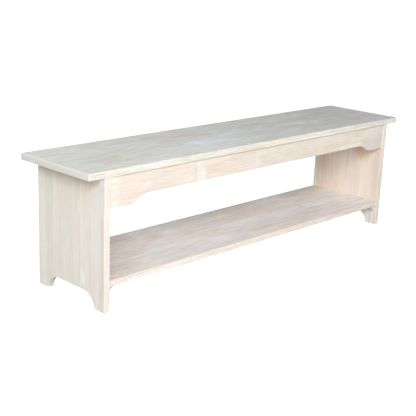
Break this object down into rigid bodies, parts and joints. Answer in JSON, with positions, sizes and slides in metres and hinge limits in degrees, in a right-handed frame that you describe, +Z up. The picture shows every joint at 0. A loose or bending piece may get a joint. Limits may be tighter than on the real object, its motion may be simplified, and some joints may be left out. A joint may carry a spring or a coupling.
{
  "type": "bench",
  "caption": "Low rectangular wooden bench with a thin slab seat, solid end panels arched at the floor, shaped aprons and a low shelf.",
  "frame": {"origin": "on the floor, under the middle of the slab", "axes": "+X along the length, +Y from the front to the back, +Z up"},
  "size_m": [1.524, 0.324, 0.428],
  "materials": {
    "slab_wood": "bare pale wood slab, edge-glued strips along X, fine grain, no finish",
    "end_wood": "bare pale wood, edge-glued upright strips",
    "apron_wood": "bare pale wood, strips along X with finger joints",
    "shelf_wood": "bare pale pinkish wood, edge-glued strips along X",
    "cleat_wood": "bare pale wood, sawn",
    "dowel_wood": "turned pale wood",
    "screw_steel": "zinc plated steel, slightly yellow"
  },
  "bodies": {
    "root": {"top_board": "slab_wood", "left_end_panel": "end_wood", "right_end_panel": "end_wood", "front_apron": "apron_wood", "rear_apron": "apron_wood", "shelf_board": "shelf_wood", "left_shelf_cleat": "cleat_wood", "right_shelf_cleat": "cleat_wood", "left_top_cleat": "cleat_wood", "right_top_cleat": "cleat_wood", "front_glue_block_1": "cleat_wood", "front_glue_block_2": "cleat_wood", "front_glue_block_3": "cleat_wood", "rear_glue_block_1": "cleat_wood", "rear_glue_block_2": "cleat_wood", "rear_glue_block_3": "cleat_wood", "apron_dowels": "dowel_wood", "shelf_dowels": "dowel_wood", "cleat_screws": "screw_steel"}
  },
  "joints": []
}
